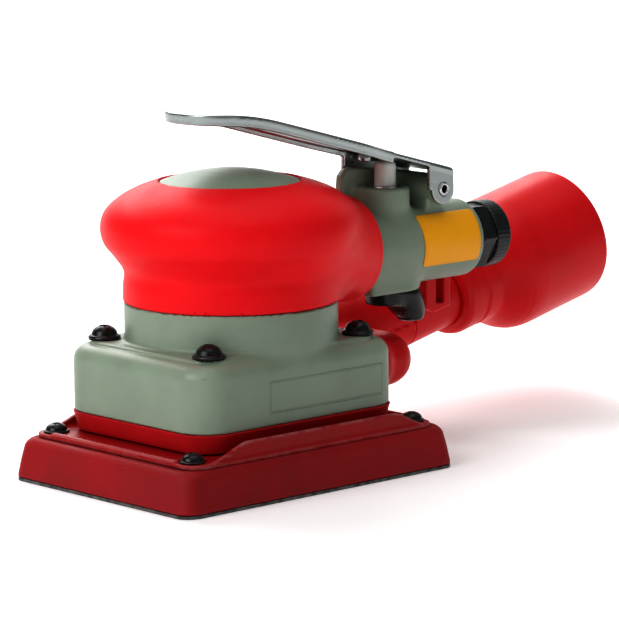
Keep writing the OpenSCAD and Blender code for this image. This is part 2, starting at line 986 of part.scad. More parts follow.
module valve_button() {
    top = 84.9;
    color("white")
        translate([valve_x, 0, 0]) {
            translate([0, 0, 64])
                cylinder(r = 3.2, h = top - 65);
            translate([0, 0, 57])
                cylinder(r = 1.5, h = 8);
            rotate_extrude()
                polygon([[0, top - 1.1], [3.2, top - 1.1], [2.9, top - 0.5], [2.2, top - 0.15],
                         [1.2, top], [0, top]]);
        }
}

module valve_poppet() {
    color(brass)
        translate([valve_x, 0, 53.4]) {
            cylinder(r = 3.6, h = 2.2);
            cylinder(r = 1.5, h = 3.57);
        }
}

// Coil spring under the poppet, swept as a tube along a helix
module valve_spring() {
    turns = 5;
    steps = 14;
    sides = 8;
    coil_r = 2.9;
    wire_r = 0.35;
    z0 = spring_floor_z + 0.4;
    z1 = 53;
    count = turns * steps;
    points = [for (i = [0 : count], k = [0 : sides - 1])
                  let (a = 360 * i / steps, b = 360 * k / sides, r = coil_r + wire_r * cos(b))
                      [r * cos(a), r * sin(a), z0 + (z1 - z0) * i / count + wire_r * sin(b)]];
    walls = [for (i = [0 : count - 1], k = [0 : sides - 1])
                 let (a = i * sides + k, b = i * sides + (k + 1) % sides)
                     [a, a + sides, b + sides, b]];
    caps = [[for (k = [0 : sides - 1]) k],
            [for (k = [sides - 1 : -1 : 0]) count * sides + k]];
    color(steel)
        translate([valve_x, 0, 0])
            polyhedron(points, concat(walls, caps));
}

module speed_knob() {
    color(black)
    difference() {
        union() {
            translate([valve_x, 0, knob_z0])
                cylinder(r = 6, h = knob_z1 - knob_z0);
            hull()
                for (c = knob_paddle)
                    translate([valve_x + c[0], 0, c[2]])
                        cylinder(r = c[1], h = c[3] - c[2], $fn = 48);
        }
        translate([valve_x, 0, knob_z0 + 1])
            cylinder(r = stem_r + slip, h = 10);
    }
}

module speed_sleeve() {
    color(brass)
        translate([valve_x, 0, 0])
            difference() {
                union() {
                    translate([0, 0, knob_z0 + 1.05])
                        cylinder(r = stem_r, h = 3.5);
                    translate([0, 0, knob_z1 + 0.1])
                        cylinder(r = sleeve_r - running, h = 55.6 - knob_z1 - 0.1);
                }
                translate([0, 0, spring_floor_z])
                    cylinder(r = 4.4, h = 20);
                translate([0, 0, 52])
                    rotate([0, 90, 0])
                        cylinder(r = 2, h = 10);
            }
}

housing();
grip();
housing_screws();
support_columns();
skirt();
lock_ring();
lower_endplate();
lower_bearing();
motor_cylinder();
upper_endplate();
upper_bearing();
lever_pin();
valve_bushing();
valve_seat();
knob_retainer();
inlet_bushing();
inlet_washer();
inlet_screen();
label();
exhaust_elbow();
exhaust_duct();
exhaust_muffler();
swivel_ring();
swivel_seal();
crankshaft();
counterweight();
rotor();
rotor_key();
vanes();
spindle_bearing();
bearing_retainer();
spindle();
spindle_screws();
backing_plate();
plate_screws();
pad_board();
pad();
pad_film();
lever();
lever_rivet();
valve_button();
valve_poppet();
valve_spring();
speed_knob();
speed_sleeve();
hose_fitting();
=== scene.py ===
import json
import math

import bpy
import numpy as np
from mathutils import Matrix, Vector


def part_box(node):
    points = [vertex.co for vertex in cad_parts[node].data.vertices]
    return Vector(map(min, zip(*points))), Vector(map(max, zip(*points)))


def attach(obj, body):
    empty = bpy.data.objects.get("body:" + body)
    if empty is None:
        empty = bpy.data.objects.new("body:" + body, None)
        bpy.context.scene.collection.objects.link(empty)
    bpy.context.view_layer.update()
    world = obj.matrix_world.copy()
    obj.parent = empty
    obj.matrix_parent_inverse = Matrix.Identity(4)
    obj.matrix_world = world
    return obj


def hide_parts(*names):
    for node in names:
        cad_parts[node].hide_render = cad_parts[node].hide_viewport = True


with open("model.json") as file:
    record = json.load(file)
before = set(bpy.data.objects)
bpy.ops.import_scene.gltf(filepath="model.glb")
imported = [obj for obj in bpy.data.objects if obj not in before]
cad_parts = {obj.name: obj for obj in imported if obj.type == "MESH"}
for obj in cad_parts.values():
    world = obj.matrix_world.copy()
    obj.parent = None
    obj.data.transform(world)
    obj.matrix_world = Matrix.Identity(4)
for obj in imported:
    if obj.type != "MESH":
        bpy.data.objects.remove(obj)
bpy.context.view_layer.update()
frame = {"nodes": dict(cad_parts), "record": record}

# Shapes are described in millimetres in the part's frame and turned into metres when a mesh is made.
MM = 0.001

# ---- distance fields -----------------------------------------------------------------------


def smin(a, b, k):
    """Union of two fields with a fillet about k wide."""
    h = np.maximum(k - np.abs(a - b), 0) / k
    return np.minimum(a, b) - h * h * k / 4


def smax(a, b, k):
    """Intersection of two fields with a rounded edge about k wide."""
    return -smin(-a, -b, k)


def cut(a, b, k=0.5):
    """Field a with b taken away, the new edge rounded."""
    return smax(a, -b, k)


def rounded_rect(a, b, ha, hb, r):
    """Field of a rectangle with half sizes ha and hb and corners of radius r."""
    qa, qb = np.abs(a) - (ha - r), np.abs(b) - (hb - r)
    out = np.hypot(np.maximum(qa, 0), np.maximum(qb, 0))
    return out + np.minimum(np.maximum(qa, qb), 0) - r


def span(t, lo, hi):
    """Field of the interval from lo to hi."""
    return np.abs(t - (lo + hi) / 2) - (hi - lo) / 2


def solid(d, s, e):
    """A flat shape d given the thickness field s, with its edges rounded to e."""
    a, b = d + e, s + e
    return np.hypot(np.maximum(a, 0), np.maximum(b, 0)) + np.minimum(np.maximum(a, b), 0) - e


def polygon(a, b, pts):
    """Field of a closed polygon."""
    pts = np.asarray(pts, float)
    d, inside = None, False
    for p, q in zip(pts, np.roll(pts, -1, 0)):
        e = q - p
        wa, wb = a - p[0], b - p[1]
        t = np.clip((wa * e[0] + wb * e[1]) / (e @ e), 0, 1)
        dd = (wa - t * e[0]) ** 2 + (wb - t * e[1]) ** 2
        d = dd if d is None else np.minimum(d, dd)
        run = e[1] if abs(e[1]) > 1e-12 else 1e-12
        inside = inside ^ (((p[1] > b) != (q[1] > b)) & (a < e[0] * (b - p[1]) / run + p[0]))
    return np.where(inside, -1.0, 1.0) * np.sqrt(d)


def cone_line(x, y, z, p, q):
    """Ball rolled from p to q, each (x, y, z, radius)."""
    p, q = np.asarray(p, float), np.asarray(q, float)
    e = q[:3] - p[:3]
    wx, wy, wz = x - p[0], y - p[1], z - p[2]
    t = np.clip((wx * e[0] + wy * e[1] + wz * e[2]) / (e @ e), 0, 1)
    d = np.sqrt((wx - t * e[0]) ** 2 + (wy - t * e[1]) ** 2 + (wz - t * e[2]) ** 2)
    return d - (p[3] + (q[3] - p[3]) * t)


def make_mesh(name, verts, faces, normals=None):
    me = bpy.data.meshes.new(name)
    me.from_pydata(np.asarray(verts, float).tolist(), [], [list(map(int, f)) for f in faces])
    me.polygons.foreach_set("use_smooth", [True] * len(me.polygons))
    me.update()
    if normals is not None:
        me.normals_split_custom_set_from_vertices(np.asarray(normals, float).tolist())
    ob = bpy.data.objects.new(name, me)
    bpy.context.scene.collection.objects.link(ob)
    return ob


def gradient(field, p):
    eps = 0.01
    g = np.empty_like(p)
    for a in range(3):
        hi, lo = p.copy(), p.copy()
        hi[:, a] += eps
        lo[:, a] -= eps
        g[:, a] = (field(*hi.T) - field(*lo.T)) / (2 * eps)
    return g


def skin(name, field, lo, hi, step):
    """Mesh of the surface field = 0 inside the box lo..hi, with the field's own normals."""
    axes = [np.arange(lo[a] - 1.5 * step, hi[a] + 1.5 * step, step) for a in range(3)]
    v = field(*np.meshgrid(*axes, indexing="ij", sparse=True))
    shape = tuple(n - 1 for n in v.shape)
    ids, spots, order = [], [], []
    for a in range(3):
        b, c = (a + 1) % 3, (a + 2) % 3
        first, second = [slice(1, -1)] * 3, [slice(1, -1)] * 3
        first[a], second[a] = slice(0, -1), slice(1, None)
        v0, v1 = v[tuple(first)], v[tuple(second)]
        at = np.argwhere((v0 < 0) != (v1 < 0))
        f0, f1 = v0[tuple(at.T)], v1[tuple(at.T)]
        at[:, b] += 1
        at[:, c] += 1
        spot = np.stack([axes[k][at[:, k]] for k in range(3)], 1)
        spot[:, a] += step * f0 / (f0 - f1)
        quad = []
        for db, dc in ((0, 0), (1, 0), (1, 1), (0, 1)):
            cell = at.copy()
            cell[:, b] -= db
            cell[:, c] -= dc
            quad.append(np.ravel_multi_index(tuple(cell.T), shape))
        quad = np.stack(quad, 1)
        ids.append(quad)
        spots.append(spot)
        order.append(f0 < 0)
    ids, spots, order = np.concatenate(ids), np.concatenate(spots), np.concatenate(order)
    unique, where = np.unique(ids, return_inverse=True)
    where = where.reshape(ids.shape)
    count = np.bincount(where.ravel(), minlength=len(unique))
    p = np.stack([np.bincount(where.ravel(), np.repeat(spots[:, k], 4), len(unique)) / count
                  for k in range(3)], 1)
    for _ in range(4):
        g = gradient(field, p)
        length = np.maximum((g * g).sum(1), 0.05)
        move = g * (field(*p.T) / length)[:, None]
        size = np.linalg.norm(move, axis=1, keepdims=True)
        p -= move * np.minimum(1, 0.5 * step / np.maximum(size, 1e-9))
    g = gradient(field, p)
    g /= np.maximum(np.linalg.norm(g, axis=1, keepdims=True), 1e-9)
    quads = np.where(order[:, None], where, where[:, ::-1])
    return make_mesh(name, p * MM, quads, g)


# ---- turned, lofted and wrapped pieces -------------------------------------------------------


def soften(profile, r=0.2):
    """Rounds each corner of a closed outline of (radius, height, ...) points."""
    out = []
    n = len(profile)
    for i, here in enumerate(profile):
        p, q, s = (np.array(profile[j % n][:2], float) for j in (i - 1, i, i + 1))
        u, w = p - q, s - q
        lu, lw = np.linalg.norm(u), np.linalg.norm(w)
        if q[0] < 1e-6 or min(lu, lw) < 0.05:
            out.append(tuple(q) + tuple(here[2:]))
            continue
        a, b = q + u / lu * min(r, 0.45 * lu), q + w / lw * min(r, 0.45 * lw)
        for t in (0, 0.5, 1):
            m = a * (1 - t) ** 2 + q * 2 * t * (1 - t) + b * t * t
            out.append(tuple(m) + tuple(here[2:]))
    return out


def turned(name, profile, place, segments=96, shape=None):
    """Closed outline of (radius, height[, tag]) swept round the Z axis, then moved by place (a Matrix,
    in mm). shape(tag, angles) scales the radius of tagged points."""
    verts, faces, ring = [], [], []
    angles = np.arange(segments) * 2 * math.pi / segments
    for item in profile:
        r, h = item[0], item[1]
        tag = item[2] if len(item) > 2 else None
        if r < 1e-6:
            ring.append([len(verts)] * segments)
            verts.append((0, 0, h))
            continue
        k = shape(tag, angles) if tag and shape else np.ones(segments)
        ring.append(list(range(len(verts), len(verts) + segments)))
        verts += [(r * k[i] * math.cos(t), r * k[i] * math.sin(t), h) for i, t in enumerate(angles)]
    n = len(ring)
    for i in range(n):
        a, b = ring[i], ring[(i + 1) % n]
        if a[0] == a[1] and b[0] == b[1]:
            continue
        for k in range(segments):
            f = [a[k], a[(k + 1) % segments], b[(k + 1) % segments], b[k]]
            f = list(dict.fromkeys(f))
            if len(f) > 2:
                faces.append(f)
    ob = make_mesh(name, verts, faces)
    ob.data.transform(place)
    ob.data.transform(Matrix.Scale(MM, 4))
    ob.data.update()
    weigh(ob)
    return ob


def weigh(ob):
    m = ob.modifiers.new("normals", "WEIGHTED_NORMAL")
    m.keep_sharp = False
    m.weight = 80


def along(origin, axis):
    """Matrix that puts the Z axis on a line through origin, in mm."""
    return Matrix.Translation(Vector(origin)) @ Vector(axis).to_track_quat("Z", "Y").to_matrix().to_4x4()


def rect_ring(hx, hy, r, z, cy=0.0, n=8, straight=6):
    """Points of a rounded rectangle at height z, evenly named so that rings join up."""
    pts = []
    corners = ((1, 1, 0), (-1, 1, 90), (-1, -1, 180), (1, -1, 270))
    for i, (sx, sy, a0) in enumerate(corners):
        arc = [math.radians(a0 + 90 * k / n) for k in range(n + 1)]
        pts += [(sx * (hx - r) + r * math.cos(t), sy * (hy - r) + r * math.sin(t) + cy, z) for t in arc]
        nx, ny, b0 = corners[(i + 1) % 4]
        end = (nx * (hx - r) + r * math.cos(math.radians(b0)),
               ny * (hy - r) + r * math.sin(math.radians(b0)) + cy, z)
        last = pts[-1]
        pts += [tuple(last[j] + (end[j] - last[j]) * k / straight for j in range(3))
                for k in range(1, straight)]
    return pts


def loft(name, rings, closed=True):
    """Rings of equal length joined in order; closed joins the last to the first, else both are capped."""
    n = len(rings[0])
    verts = [p for ring in rings for p in ring]
    faces = []
    count = len(rings)
    for i in range(count if closed else count - 1):
        a, b = i * n, ((i + 1) % count) * n
        faces += [[a + k, a + (k + 1) % n, b + (k + 1) % n, b + k] for k in range(n)]
    if not closed:
        for i, flip in ((0, True), (count - 1, False)):
            c = len(verts)
            verts.append(tuple(np.mean(rings[i], 0)))
            for k in range(n):
                tri = [i * n + k, i * n + (k + 1) % n, c]
                faces.append(tri[::-1] if flip else tri)
    ob = make_mesh(name, np.asarray(verts) * MM, faces)
    weigh(ob)
    return ob


# ---- numbers shared by several pieces ------------------------------------------------------

# GAP is the grip's clearance round the housing, SEAM_W the place on the swivel's axis where the duct
# leaves the elbow, CORE the outline of the barrel's top and crown as (radius, height).
GAP = 0.03
BARREL_R = 30.6
TUBE_R = 11.8
TUBE_Z = 59.1
TUBE_END = 91.7
TOWER_R, TOWER_TOP = 7.3, 77.3
BOSS_R, BOSS_Z = 10.2, 46.6
DUCT_R, SPIGOT_R, DUCT_BORE_R = 11.2, 11.0, 8.6
VALVE_X = 61.2
PIVOT = (75.6, 76.05)
TILT = math.radians(13.1)
SWIVEL = np.array([120.0, 26.0, 40.0])
SWIVEL_AXIS = np.array([math.cos(TILT), 0.0, math.sin(TILT)])
ORBIT = -1.2
SEAM_W = -32.39
CORE = [(0, 45), (28.4, 45), (28.4, 76), (20.1, 84), (20.1, 84.4), (18.5, 84.97), (15, 86.04), (11, 87),
        (7, 87.65), (3, 88.02), (0, 88.1)]


def on_swivel(x, y, z):
    """Distance along the swivel's axis, away from it, and up from it in the XZ plane."""
    dx, dy, dz = x - SWIVEL[0], y - SWIVEL[1], z - SWIVEL[2]
    w = dx * SWIVEL_AXIS[0] + dz * SWIVEL_AXIS[2]
    across = -dx * SWIVEL_AXIS[2] + dz * SWIVEL_AXIS[0]
    return w, np.hypot(dy, across), across


def boss_shape(x, y, gap=0.0):
    """Plan of the pod under the handle that carries the speed control."""
    r = BOSS_R + gap
    return np.minimum(np.hypot(x - VALVE_X, y) - r, rounded_rect(x - 53.6, y, 7.6 + gap, r, 1.5))


# ---- housing -------------------------------------------------------------------------------


def housing_field(x, y, z):
    radius = np.hypot(x, y)
    tube_r = np.hypot(y, z - TUBE_Z)
    block = solid(rounded_rect(x, y, 38.0, 31.0, 9.5), span(z, 0, 38.6), 4.5)
    block = smax(block, 19.5 - z, 0.7)
    plateau = solid(rounded_rect(x, y, 33.2, 27.6, 7.5), span(z, 25, 39.6), 0.5)
    d = smin(block, plateau, 0.6)
    d = smin(d, solid(radius - BARREL_R, span(z, 25, 50.4), 0.3), 1.5)
    core = polygon(radius, z, CORE)
    d = np.minimum(d, core)
    tube = solid(tube_r - TUBE_R, span(x, 10, TUBE_END), 1.2)
    tower_plan = np.minimum(np.hypot(x - VALVE_X, y) - TOWER_R,
                            rounded_rect(x - VALVE_X, y - 3.5, TOWER_R, 3.5, 0.5))
    handle = smin(tube, solid(tower_plan, span(z, 55, TOWER_TOP), 0.9), 2.4)
    boss = np.minimum(solid(np.hypot(x - VALVE_X, y) - BOSS_R, span(z, BOSS_Z, 60), 1.0),
                      solid(rounded_rect(x - 53.6, y, 7.6, BOSS_R, 1.5), span(z, BOSS_Z, 55.6), 1.0))
    handle = smin(handle, boss, 2.4)
    wall_side = polygon(x, z, [(48.6, 58), (48.6, 78.5), (49.1, 80.9), (50.6, 82.5), (53, 83.1),
                               (84.6, 78.8), (84.6, 58)])
    wall = solid(wall_side, span(y, 5.5, 8.6), 0.9)
    handle = smin(handle, wall, 1.8)
    pin = solid(np.hypot(x - PIVOT[0], z - PIVOT[1]) - 4.2, span(y, -8.6, 7.0), 0.5)
    web = solid(rounded_rect(x - PIVOT[0], z - 69, 3.4, 7.0, 0.5), span(y, -6.4, 7.0), 0.6)
    handle = smin(handle, np.minimum(pin, web), 1.2)
    d = np.minimum(d, handle)
    # bores
    foot = solid(rounded_rect(x, y, 35.0, 28.0, 3.0), span(z, 0, 35.5), 1.0)
    motor = solid(radius - 22.5, span(z, 30, 80), 0.1)
    air = np.minimum(solid(tube_r - 8.4, span(x, TUBE_END - 13, 110), 0.1),
                     solid(tube_r - 3.5, span(x, 18, 79.5), 0.1))
    at_valve = np.hypot(x - VALVE_X, y)
    valve = np.minimum(solid(at_valve - 5.03, span(z, 70.2, 80), 0.1),
                       solid(at_valve - 4.6, span(z, 57, 71), 0.1))
    valve = np.minimum(valve, solid(at_valve - 6.0, span(z, 30, 57.7), 0.1))
    valve = np.minimum(valve, solid(at_valve - 7.45, span(z, 30, 47.5), 0.1))
    outlet = solid(rounded_rect(y, z - 26.5, 10.0, 4.7, 0.5), span(x, 31, 50), 0.1)
    holes = np.minimum(np.minimum(foot, motor), np.minimum(air, valve))
    holes = np.minimum(holes, outlet)
    pin_hole = np.hypot(x - PIVOT[0], z - PIVOT[1]) - 2.01
    return cut(cut(d, holes, 0.4), pin_hole, 0.3)


def smooth_line(pts, steps):
    """Catmull-Rom curve through the points, steps between neighbours."""
    pts = np.asarray(pts, float)
    t = np.linspace(0, 1, steps, endpoint=False)[:, None]
    out = []
    for i in range(len(pts) - 1):
        a, b, c, d = pts[max(i - 1, 0)], pts[i], pts[i + 1], pts[min(i + 2, len(pts) - 1)]
        out.append(0.5 * (2 * b + (c - a) * t + (2 * a - 5 * b + 4 * c - d) * t * t
                          + (3 * b - a - 3 * c + d) * t ** 3))
    return np.vstack(out + [pts[-1:]])


# Outline of the grip's turned body as (radius, height), and its slope
GRIP_SIDE = smooth_line([(30.9, 50.4), (30.8, 55.2), (30.6, 59.4), (33.3, 63.6), (36.2, 67.4),
                         (37.1, 71.8), (35.9, 76), (32.3, 79.6), (27, 82.6), (20.2, 85)], 90)
GRIP_SLOPE = np.gradient(GRIP_SIDE[:, 0], GRIP_SIDE[:, 1])


def grip_field(x, y, z):
    radius = np.hypot(x, y)
    slope = np.interp(z, GRIP_SIDE[:, 1], GRIP_SLOPE)
    body = (radius - np.interp(z, GRIP_SIDE[:, 1], GRIP_SIDE[:, 0])) / np.sqrt(1 + slope * slope)
    body = smax(body, span(z, 50.4, 85.0), 0.6)
    t = np.interp(np.clip(x, 4, 47), [4, 12, 20, 30, 38, 44, 47], [0, 1, 2, 3, 4, 5, 6])
    half_y = np.interp(t, range(7), [30.0, 28.0, 25.6, 22.2, 18.6, 15.9, 14.9])
    half_z = np.interp(t, range(7), [14.8, 15.6, 16.5, 16.9, 16.5, 15.8, 14.9])
    mid_z = np.interp(t, range(7), [64.8, 64.2, 63.6, 62.7, 61.6, 60.7, 60.6])
    qa, qb = y / half_y, (z - mid_z) / half_z
    q = np.sqrt(qa * qa + qb * qb) + 1e-6
    neck = q * (q - 1) / np.sqrt((qa / half_y) ** 2 + (qb / half_z) ** 2 + 1e-12)
    neck = solid(neck, span(x, 0, 47), 1.9)
    d = smin(body, neck, 7.0)
    d = smax(d, span(x, -45, 47), 1.0)
    d = cut(d, polygon(radius, z, CORE) - GAP, 0.35)
    d = cut(d, solid(radius - BARREL_R - GAP, span(z, 30, 50.4), 0.05), 0.3)
    d = cut(d, radius - 20.13, 0.5)
    d = cut(d, np.hypot(y, z - TUBE_Z) - TUBE_R - GAP + np.maximum(20 - x, 0), 0.4)
    return cut(d, solid(boss_shape(x, y, GAP), span(z, 30, 62), 0.1), 0.4)


# ---- exhaust -------------------------------------------------------------------------------


def elbow_outside(x, y, z):
    boot = cone_line(x, y, z, (49, -1, 25.6, 7.8), (60.6, 2.2, 25.2, 8))
    t = np.clip((y - 2) / 22, 0, 1)
    base = np.sqrt(np.maximum(np.abs(x - 54.9 - 5.9 * t) - 5.5, 0) ** 2
                   + np.maximum(np.abs(y - 12) - 12.5, 0) ** 2 + (z - 25.5) ** 2) - 7.8
    t = np.clip((x - 38) / 14, 0, 1)
    neck = rounded_rect(y + 0.3 * t, z - 26.6 + t, 13.0 - 3.6 * t, 6.7 + 0.7 * t, 5.0 + 2.2 * t)
    neck = solid(neck, span(x, 27, 56), 3.0)
    start = np.array([*(SWIVEL + SWIVEL_AXIS * -31.2), DUCT_R])
    shoulder = cone_line(x, y, z, (56.5, 28.2, 29.6, 10.1), (67.6, 28.6, 31.4, 10.3))
    shoulder = smin(shoulder, cone_line(x, y, z, (67.6, 28.6, 31.4, 10.3), start), 1.0)
    arm = cone_line(x, y, z, (64, 24, 25.6, 7.7), (*start[:3], 10.0))
    return smin(smin(smin(base, boot, 1.5), neck, 2.5), smin(shoulder, arm, 2.0), 2.5)


def elbow_field(x, y, z):
    d = elbow_outside(x, y, z)
    w, _, across = on_swivel(x, y, z)
    # parting line of the two moulded halves
    seam = np.maximum(np.hypot(d, np.abs(across + 1.0)) - 0.35, 66 - x)
    shell = cut(d, d + 2.2, 0.3)
    shell = cut(shell, seam, 0.3)
    shell = smax(shell, 38.04 - x, 0.3)
    return smax(shell, w - SEAM_W, 0.5)


def duct_field(x, y, z):
    w, away, _ = on_swivel(x, y, z)
    pipe = solid(away - DUCT_R, span(w, SEAM_W, -12.6), 0.4)
    saddle_side = polygon(x, z, [(82.1, 52), (82.1, 37.7), (86, 35.8), (92.9, 37.3), (92.9, 52)])
    saddle = smax(solid(saddle_side, span(y, 4, 25), 0.8), -w + SEAM_W, 0.5)
    saddle = np.minimum(saddle, solid(saddle_side, span(y, 4, 13), 0.8))
    # its top slopes down to the duct on the far side
    saddle = smax(saddle, (10.5 * (y - 10) + 16 * (z - 51.9)) / math.hypot(10.5, 16), 1.0)
    d = smin(pipe, saddle, 1.6)
    d = smin(d, solid(away - SPIGOT_R, span(w, -20, 0), 0.3), 0.3)
    # low rib round the pipe
    d = np.minimum(d, solid(away - 11.19, span(w, -30.5, -29.3), 0.3))
    d = cut(d, np.hypot(y, z - TUBE_Z) - TUBE_R - 0.05, 0.5)
    slot = solid(rounded_rect(x - 88.2, z - 42.6, 1.6, 3.8, 0.4), span(y, 0, 8), 0.3)
    d = cut(d, slot, 0.4)
    d = cut(d, away - DUCT_BORE_R, 0.3)
    d = cut(d, np.maximum(9.85 - away, span(w, -3.9, -1.9)), 0.2)
    return cut(d, np.maximum(9.3 - away, span(w, -9.1, -7.2)), 0.2)


# ---- lever ---------------------------------------------------------------------------------

SLOPE = math.radians(15.2)
BEND_X, BEND_R = 8.0, 105.0
BEND_Z = 83.1 + (PIVOT[0] - BEND_X) * math.tan(SLOPE)


def lever_top(x):
    line = 83.1 + (PIVOT[0] - x) * math.tan(SLOPE)
    run = np.minimum(BEND_X - x - BEND_R * math.sin(SLOPE), 0)
    arc = BEND_Z - BEND_R * math.cos(SLOPE) + np.sqrt(np.maximum(BEND_R ** 2 - run ** 2, 1))
    return np.where(x > BEND_X, line, arc)


def lever_plan(x, y):
    t = np.clip((x - 39) / 16, 0, 1)
    half = 13.5 - 3.3 * t * t * (3 - 2 * t)
    return rounded_rect(x - 41.2, y, 60.0, half, np.minimum(12.0, half - 0.01))


def lever_field(x, y, z):
    t = np.clip((BEND_X - x) / 30, 0, 1)
    lean = math.cos(SLOPE) * (1 - t) + t
    down = (lever_top(x) - z) * lean
    plan = lever_plan(x, y)
    sheet = solid(smax(plan, x - 80, 1.5), span(down, 0, 1.5), 0.55)
    rim = solid(np.maximum(plan, -plan - 1.3), span(down, 0, 3.1), 0.45)
    rim = smax(rim, x - 55.5, 1.0)
    d = smin(sheet, rim, 0.8)
    around = np.hypot(x - PIVOT[0], z - PIVOT[1])
    under = (z - lever_top(x) + 0.6) * lean
    near = np.maximum(np.maximum(69.8 - x, x - 80.0), PIVOT[1] - z)
    near = np.minimum(np.maximum(near, under), around - 4.7)
    far = polygon(x, z, [(52.4, PIVOT[1] + 1), (53, 92), (80, 92), (80.3, PIVOT[1]),
                         (78, PIVOT[1] - 3.6), (PIVOT[0] - 4.7, PIVOT[1] - 2)])
    far = np.minimum(np.maximum(far, under), around - 4.7)
    ears = np.minimum(solid(near, span(y, -10.2, -8.8), 0.45), solid(far, span(y, 8.8, 10.2), 0.45))
    # the rear corners of the bracket are rounded
    rear = rounded_rect(x - 20, (z - lever_top(x) + 30) * lean, 60.0, 30.0, 3.0)
    d = smax(smin(d, ears, 0.9), rear, 0.4)
    return cut(d, around - 2.05, 0.2)


def knob_field(x, y, z):
    px = x - VALVE_X
    hub = solid(np.hypot(px, y) - 6.0, span(z, 42, 46.2), 0.7)
    t = np.clip((45 - z) / 8, 0, 1)
    middle = 5.6 + 4.8 * t
    lobe = np.hypot((px - middle) * (1 - 0.1 * t), y) - (6.5 - 2.6 * t * t)
    lobe = solid(lobe * 0.9, span(z, 35.9, 46.2), 1.3)
    d = smin(hub, lobe, 2.0)
    return cut(d, solid(np.hypot(px, y) - 4.53, span(z, 43, 50), 0.1), 0.2)


def plate_field(x, y, z):
    y = y - ORBIT
    sheet = solid(rounded_rect(x, y, 46.5, 35.3, 5.0), span(z, 12.2, 13.5), 0.35)
    side = polygon(x, z, [(-41, 12.6), (-38.6, 13.7), (-29.2, 17.2), (-26.6, 18), (30.4, 18),
                          (33, 17.2), (40.4, 13.7), (42.8, 12.6)])
    flange = solid(side, span(np.abs(y), 34.0, 35.3), 0.45)
    d = smin(sheet, flange, 1.1)
    lip = solid(rounded_rect(np.abs(x) - 45.1, y, 0.7, 27.0, 0.6), span(z, 12.6, 14.2), 0.5)
    d = smin(d, lip, 1.0)
    screw = np.hypot(np.abs(x) - 41.8, np.abs(y) - 29.7) - 2.03
    return cut(d, screw, 0.2)


# ---- materials ------------------------------------------------------------------------------


class Nodes:
    """Short hand for building one material's node tree."""

    def __init__(self, name):
        self.mat = bpy.data.materials.new(name)
        self.mat.use_nodes = True
        self.tree = self.mat.node_tree
        self.tree.nodes.clear()
        self.out = self.add("ShaderNodeOutputMaterial")
        self.bsdf = self.add("ShaderNodeBsdfPrincipled")
        self.join(self.bsdf.outputs[0], self.out.inputs["Surface"])
        self.coord = self.add("ShaderNodeTexCoord").outputs["Object"]

    def add(self, kind, **values):
        node = self.tree.nodes.new(kind)
        for key, value in values.items():
            setattr(node, key, value)
        return node

    def join(self, a, b):
        self.tree.links.new(a, b)

    def set(self, socket, value):
        if isinstance(value, bpy.types.NodeSocket):
            self.join(value, socket)
        else:
            socket.default_value = value

    def math(self, kind, a, b=0.0):
        node = self.add("ShaderNodeMath", operation=kind)
        for socket, value in zip(node.inputs, (a, b)):
            self.set(socket, value)
        return node.outputs[0]

    def noise(self, scale, detail=3.0, rough=0.5, stretch=(1, 1, 1)):
        node = self.add("ShaderNodeTexNoise")
        place = self.add("ShaderNodeMapping")
        self.join(self.coord, place.inputs["Vector"])
        place.inputs["Scale"].default_value = stretch
        self.join(place.outputs[0], node.inputs["Vector"])
        node.inputs["Scale"].default_value = scale
        node.inputs["Detail"].default_value = detail
        node.inputs["Roughness"].default_value = rough
        return node.outputs["Fac"]

    def ramp(self, fac, lo, hi, out_lo=0.0, out_hi=1.0):
        node = self.add("ShaderNodeMapRange", clamp=True)
        for key, value in zip(("Value", "From Min", "From Max", "To Min", "To Max"),
                              (fac, lo, hi, out_lo, out_hi)):
            self.set(node.inputs[key], value)
        return node.outputs[0]

    def mix(self, fac, a, b):
        node = self.add("ShaderNodeMix", data_type="RGBA")
        self.set(node.inputs["Factor"], fac)
        self.set(node.inputs[6], a)
        self.set(node.inputs[7], b)
        return node.outputs[2]

    def bump(self, height, strength, distance, below=None):
        node = self.add("ShaderNodeBump")
        node.inputs["Strength"].default_value = strength
        node.inputs["Distance"].default_value = distance
        self.join(height, node.inputs["Height"])
        if below is not None:
            self.join(below, node.inputs["Normal"])
        return node.outputs[0]


def colour(rgb, k=1.0):
    return (rgb[0] * k, rgb[1] * k, rgb[2] * k, 1.0)


